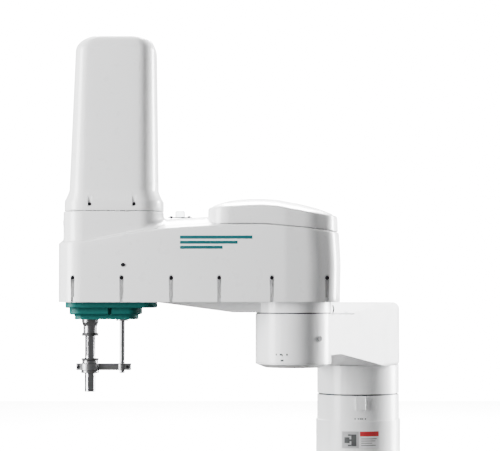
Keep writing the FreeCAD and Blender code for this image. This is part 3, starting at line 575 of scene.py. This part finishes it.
def tower_cutters():
    bm = bmesh.new()
    for u in (470.0, 368.0):
        for sg in (-1, 1):
            prof = []
            for k in range(11):
                a = math.pi * k / 10
                prof.append((u + 4.4 * math.cos(a), 699.0 + 9.0 * math.sin(a)))
            prof += [(u - 4.4, 676.0), (u + 4.4, 676.0)]
            a = [bm.verts.new(uvz(x, sg * 82.2, z)) for x, z in prof]
            b = [bm.verts.new(uvz(x, sg * 96.0, z)) for x, z in prof]
            bm.faces.new(a)
            bm.faces.new(list(reversed(b)))
            n = len(prof)
            for i in range(n):
                j = (i + 1) % n
                bm.faces.new((a[j], a[i], b[i], b[j]))
    bmesh.ops.recalc_face_normals(bm, faces=bm.faces)
    me = bpy.data.meshes.new("cutters")
    bm.to_mesh(me)
    bm.free()
    return me


tower_me = boolean(tower_me, tower_cutters())
tower = add_obj("tower_shell", tower_me, "white_shell", "arm2", 30)
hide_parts("tower_cover")
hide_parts("arm2_cover")

# hood over J2
HP = [(199, 97.5, 54), (20, 100.6, 90), (-45, 95.6, 90), (-91, 71, 40), (U_REAR + 1.6, 30, 28)]
HOUT = arc_outline([(u, -v, r) for u, v, r in reversed(HP)] + HP, 4.0)
H_LO = [(-110, 618.2), (-60, 624.2), (-23, 628.7), (67, 635.8), (152, 636.4), (200, 634.0)]
H_SIDE = [(-110, 655), (-88, 657.5), (-40, 664), (0, 671), (40, 678.5), (74, 680.5), (100, 680), (150, 677.5), (200, 674)]
H_CROWN = 16.0


def hood_rings():
    nrm = normals2(HOUT)
    R = 6.0
    rings = []

    def low(u, v):
        return interp(H_LO, u)

    def sh(p, n, z, d=0.0):
        q = p - n * d
        f = min(1.0, max(0.0, (60.0 - q.x) / 120.0))
        return (q.x + 3.0 * f, q.y, z)
    rings.append([sh(p, n, low(*p) + 0.2, 1.2) for p, n in zip(HOUT, nrm)])
    rings.append([sh(p, n, low(*p) + 0.7, 0.25) for p, n in zip(HOUT, nrm)])
    rings.append([sh(p, n, low(*p) + 1.6, 0.0) for p, n in zip(HOUT, nrm)])
    for k in range(1, 5):
        rings.append([sh(p, n, low(*p) + 1.6 + (interp(H_SIDE, p.x) - R - low(*p) - 1.6) * k / 4.0, 0.25 * k) for p, n in zip(HOUT, nrm)])
    for k in range(1, 6):
        a = math.radians(68.0) * k / 5
        rings.append([sh(p, n, interp(H_SIDE, p.x) - R + R * math.sin(a), 1.0 + R * (1 - math.cos(a))) for p, n in zip(HOUT, nrm)])
    ins = 1.0 + R * (1 - math.cos(math.radians(68.0)))
    edge = [p - n * ins for p, n in zip(HOUT, nrm)]
    for s in (0.95, 0.88, 0.8, 0.7, 0.58, 0.46, 0.34, 0.22, 0.1, 0.0):
        r = []
        for p, p_out in zip(edge, HOUT):
            m = Vector((min(max(p.x, -10.0), 112.0), 0.0))
            q = m + (p - m) * s
            ze = interp(H_SIDE, p_out.x) - R + R * math.sin(math.radians(68.0))
            zq = interp(H_SIDE, q.x) + H_CROWN * (1 - s * s)
            t = (1.0 - s) / 0.12
            if t < 1.0:
                zq = ze + (zq - ze) * t
            f = min(1.0, max(0.0, (60.0 - p.x) / 120.0)) * s
            r.append((q.x + 3.0 * f, q.y, zq))
        rings.append(r)
    return rings


hood_me = shell(ring_mesh("hood_shell", hood_rings(), uvz, close_top=True), 3.0)
hood = add_obj("hood_shell", hood_me, "white_shell", "arm2", 30)
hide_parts("hood_cover")


# ---------------------------------------------------------------------------
# printed marks and labels, thin pieces laid on the surfaces
# ---------------------------------------------------------------------------
def patch(name, pts_fn, nu, nv, mat, body, t=0.0003):
    """A thin closed sheet on a surface; pts_fn(a, b, lift) gives a point, a and b run 0..1."""
    bm = bmesh.new()
    lo = [[bm.verts.new(pts_fn(i / nu, j / nv, 0.0)) for j in range(nv + 1)] for i in range(nu + 1)]
    hi = [[bm.verts.new(pts_fn(i / nu, j / nv, t)) for j in range(nv + 1)] for i in range(nu + 1)]
    for i in range(nu):
        for j in range(nv):
            bm.faces.new((hi[i][j], hi[i + 1][j], hi[i + 1][j + 1], hi[i][j + 1]))
            bm.faces.new((lo[i][j], lo[i][j + 1], lo[i + 1][j + 1], lo[i + 1][j]))
    for i in range(nu):
        bm.faces.new((lo[i][0], lo[i + 1][0], hi[i + 1][0], hi[i][0]))
        bm.faces.new((lo[i + 1][nv], lo[i][nv], hi[i][nv], hi[i + 1][nv]))
    for j in range(nv):
        bm.faces.new((lo[0][j + 1], lo[0][j], hi[0][j], hi[0][j + 1]))
        bm.faces.new((lo[nu][j], lo[nu][j + 1], hi[nu][j + 1], hi[nu][j]))
    bmesh.ops.recalc_face_normals(bm, faces=bm.faces)
    me = bpy.data.meshes.new(name)
    bm.to_mesh(me)
    bm.free()
    return add_obj(name, me, mat, body, 40)


def column_patch(name, r, a0, a1, z0, z1, mat, body, cx=0.0, cy=0.0, t=0.0003, n=24):
    def f(a, b, lift):
        ang = math.radians(a0 + (a1 - a0) * a)
        rr_ = r * MM + lift
        return Vector((cx + rr_ * math.cos(ang), cy + rr_ * math.sin(ang), (z0 + (z1 - z0) * b) * MM))
    return patch(name, f, n, 2, mat, body, t)


# label on the column: dark square, white panel with a red head, thin ruled lines
R0 = 110.05
def deg(y):
    return math.degrees(math.asin(max(-1, min(1, y / R0))))
column_patch("label_square", R0, deg(-46.5), deg(-4.5), 81.0, 123.0, "label_grey", "base")
column_patch("label_head", R0, deg(-1.5), deg(46.5), 111.0, 123.0, "label_red", "base")
for k, (zl, y1) in enumerate(((104, 42), (98.5, 38), (93, 30), (87.5, 40))):
    column_patch("label_rule_%d" % k, R0, deg(1.5), deg(y1), zl, zl + 1.3, "print_grey", "base")
for k, (yy, zz, w_, h_) in enumerate(((-34, 101, 13, 15), (-17, 101, 13, 30), (-25.5, 101, 5, 5), (-28, 88, 8, 4), (-28, 114, 8, 4))):
    column_patch("label_block_%d" % k, R0 + 0.25, deg(yy - w_ / 2), deg(yy + w_ / 2), zz - h_ / 2, zz + h_ / 2, "label_dark", "base")
# small alignment marks on the column and on the J2 barrel
for k, yy in enumerate((-15, -7, -2, 4, 11)):
    column_patch("column_mark_%d" % k, 106.03, math.degrees(math.asin(yy / 106.0)), math.degrees(math.asin((yy + (3.0 if k != 2 else 5.0)) / 106.0)), 153.5, 156.5, "print_grey", "base", t=0.0002, n=3)
for k, (aa, ww, zz) in enumerate(((-28.5, 2.0, 335), (-22, 3.4, 335), (-18.5, 1.4, 333.5), (-12, 2.4, 335), (-20.5, 4.5, 321.5))):
    column_patch("barrel_mark_%d" % k, 88.52, aa, aa + ww, zz - 2.0, zz + 2.0, "print_grey", "arm1", J2X, J2Y, 0.0002, 3)


# plain teal bars on the side of link 2, in place of any lettering
def side_v(u):
    return half_w(u)


def bar(name, u0, u1, z0, z1, sg, skew=0.0):
    def f(a, b, lift):
        u = u0 + (u1 - u0) * a + skew * (b - 0.5)
        return uvz(u, sg * (side_v(u) + 0.05 + lift * 1000.0), z0 + (z1 - z0) * b)
    return patch(name, f, 18, 3, "print_teal", "arm2", 0.0002)


for sg, tag in ((1, "front"), (-1, "back")):
    bar("stripe_%s_long" % tag, 96, 262, 600.5, 608, sg, 0)
    bar("stripe_%s_mid" % tag, 130, 262, 589.0, 596.0, sg, 0)
    bar("stripe_%s_low" % tag, 164, 262, 577.5, 584.5, sg, 0)


def disc(name, centre, axis, r, h, mat, body, seg=24, hex_r=0.0, hex_d=0.0):
    """Short round piece standing on a surface, with an optional hexagon recess."""
    ax = Vector(axis).normalized()
    rot = ax.to_track_quat("Z", "Y").to_matrix()
    bm = bmesh.new()
    ch = min(0.25 * h, 0.12 * r)

    def loop(rad, z, k=seg):
        return [bm.verts.new(Vector(centre) + rot @ (Vector((rad * math.cos(2 * math.pi * i / k), rad * math.sin(2 * math.pi * i / k), z)) * MM)) for i in range(k)]
    rows = [loop(r, 0.0), loop(r, h - ch), loop(r - ch, h)]
    if hex_r > 0:
        rows += [loop(hex_r, h), loop(hex_r * 0.98, h - hex_d)]
    bm.faces.new(list(reversed(rows[0])))
    for a, b in zip(rows, rows[1:]):
        for i in range(seg):
            j = (i + 1) % seg
            bm.faces.new((a[i], a[j], b[j], b[i]))
    bm.faces.new(rows[-1])
    bmesh.ops.recalc_face_normals(bm, faces=bm.faces)
    me = bpy.data.meshes.new(name)
    bm.to_mesh(me)
    bm.free()
    return add_obj(name, me, mat, body, 35)


# screws at the foot of the tower cover's four slots
for k, (u, sg) in enumerate(((470.0, 1), (368.0, 1), (470.0, -1), (368.0, -1))):
    disc("tower_screw_%d" % k, uvz(u, sg * 82.3, 681.0), (sg, 0, 0), 3.9, 1.6, "dark_steel", "arm2", 18, 1.8, 1.0)

# black ring filling the gap under link 2, painted shade standing in for the dark open gap
bm = bmesh.new()
prof = [(80.0, 428.5), (86.4, 428.5), (87.0, 429.0), (87.0, 430.6), (80.0, 430.6)]
rows = []
for i in range(96):
    t = 2 * math.pi * i / 96
    rows.append([bm.verts.new((J2X + r_ * MM * math.cos(t), J2Y + r_ * MM * math.sin(t), z_ * MM)) for r_, z_ in prof])
for i in range(96):
    a, b = rows[i], rows[(i + 1) % 96]
    for k in range(len(prof)):
        m_ = (k + 1) % len(prof)
        bm.faces.new((a[k], b[k], b[m_], a[m_]))
bmesh.ops.recalc_face_normals(bm, faces=bm.faces)
rm = bpy.data.meshes.new("j2_gap_shade_ring")
bm.to_mesh(rm)
bm.free()
add_obj("j2_gap_shade_ring", rm, "black_rubber", "arm2", 35)

# small black chevron piece at the root of link 1, beside the J2 barrel
a1 = math.radians(-20.0)
bm = bmesh.new()
cx, cy = 0.497, -0.0862
pts = [(-2.4, -9.0), (0.8, -9.0), (2.8, 0.0), (0.8, 9.0), (-2.4, 9.0), (-0.6, 0.0)]
front = [bm.verts.new((cx + 0.0040, cy + p[0] * MM, (438.5 + p[1]) * MM)) for p in pts]
back_ = [bm.verts.new((cx - 0.0040, cy + p[0] * MM, (438.5 + p[1]) * MM)) for p in pts]
bm.faces.new(front)
bm.faces.new(list(reversed(back_)))
for i in range(6):
    j = (i + 1) % 6
    bm.faces.new((front[j], front[i], back_[i], back_[j]))
bmesh.ops.recalc_face_normals(bm, faces=bm.faces)
im = bpy.data.meshes.new("link1_root_chevron")
bm.to_mesh(im)
bm.free()
add_obj("link1_root_chevron", im, "black_plastic", "arm1", 35)

# ---------------------------------------------------------------------------
# floor, backdrop, light, camera
# ---------------------------------------------------------------------------
def plane(name, verts, mat):
    me = bpy.data.meshes.new(name)
    me.from_pydata(verts, [], [(0, 1, 2, 3)])
    ob = bpy.data.objects.new(name, me)
    bpy.context.scene.collection.objects.link(ob)
    me.materials.append(mat)
    return ob


fm, fnt, fb = new_mat("floor_pale")
fnt.links.new(ramp(fnt, noise(fnt, 3.0), [(0.3, (0.86, 0.86, 0.86)), (0.7, (0.90, 0.90, 0.90))]), fb.inputs["Base Color"])
fb.inputs["Roughness"].default_value = 0.9
fb.inputs["Specular IOR Level"].default_value = 0.1
fb.inputs["Emission Color"].default_value = (1.0, 1.0, 1.0, 1.0)
fb.inputs["Emission Strength"].default_value = 9.0
floor = plane("floor", [(-9, -9, 0), (9, -9, 0), (9, 9, 0), (-9, 9, 0)], fm)
floor.visible_diffuse = False
floor.visible_glossy = False

world = bpy.data.worlds.new("studio")
bpy.context.scene.world = world
world.use_nodes = True
bg = world.node_tree.nodes["Background"]
bg.inputs["Color"].default_value = (1.0, 1.0, 1.0, 1.0)
bg.inputs["Strength"].default_value = 0.30


def area(name, loc, target, sx, sy, power, col=(1, 1, 1)):
    d = bpy.data.lights.new(name, "AREA")
    d.shape = "RECTANGLE"
    d.size = sx
    d.size_y = sy
    d.energy = power
    d.color = col
    o = bpy.data.objects.new(name, d)
    bpy.context.scene.collection.objects.link(o)
    o.location = loc
    o.rotation_euler = (Vector(target) - Vector(loc)).to_track_quat("-Z", "Y").to_euler()
    return o


area("key_left", (1.75, -3.3, 1.1), (0.4, -0.4, 0.6), 1.3, 2.6, 480.0)
area("top_soft", (-1.3, -0.3, 3.0), (0.4, -0.4, 0.6), 1.6, 2.4, 900.0)
area("rim_right", (-1.1, 2.7, 0.9), (0.3, -0.2, 0.5), 1.2, 2.4, 900.0)

wm, wnt, wb = new_mat("backdrop_white")
wnt.links.new(ramp(wnt, noise(wnt, 2.0), [(0.3, (0.90, 0.90, 0.90)), (0.7, (0.93, 0.93, 0.93))]), wb.inputs["Base Color"])
wb.inputs["Roughness"].default_value = 1.0
wb.inputs["Specular IOR Level"].default_value = 0.0
wb.inputs["Emission Color"].default_value = (1.0, 1.0, 1.0, 1.0)
wb.inputs["Emission Strength"].default_value = 15.0
back = plane("backdrop", [(-3.2, -7, 0), (-3.2, 7, 0), (-3.2, 7, 5), (-3.2, -7, 5)], wm)
back.visible_diffuse = False
back.visible_glossy = False

cam_d = bpy.data.cameras.new("camera")
cam_d.sensor_width = 36.0
cam_d.lens = 134.0
cam_d.clip_end = 50.0
cam = bpy.data.objects.new("camera", cam_d)
bpy.context.scene.collection.objects.link(cam)
cam.location = (4.852, -0.2808, 0.488)
cam.rotation_euler = (math.radians(91.92), 0.0, math.radians(90.0))
bpy.context.scene.camera = cam
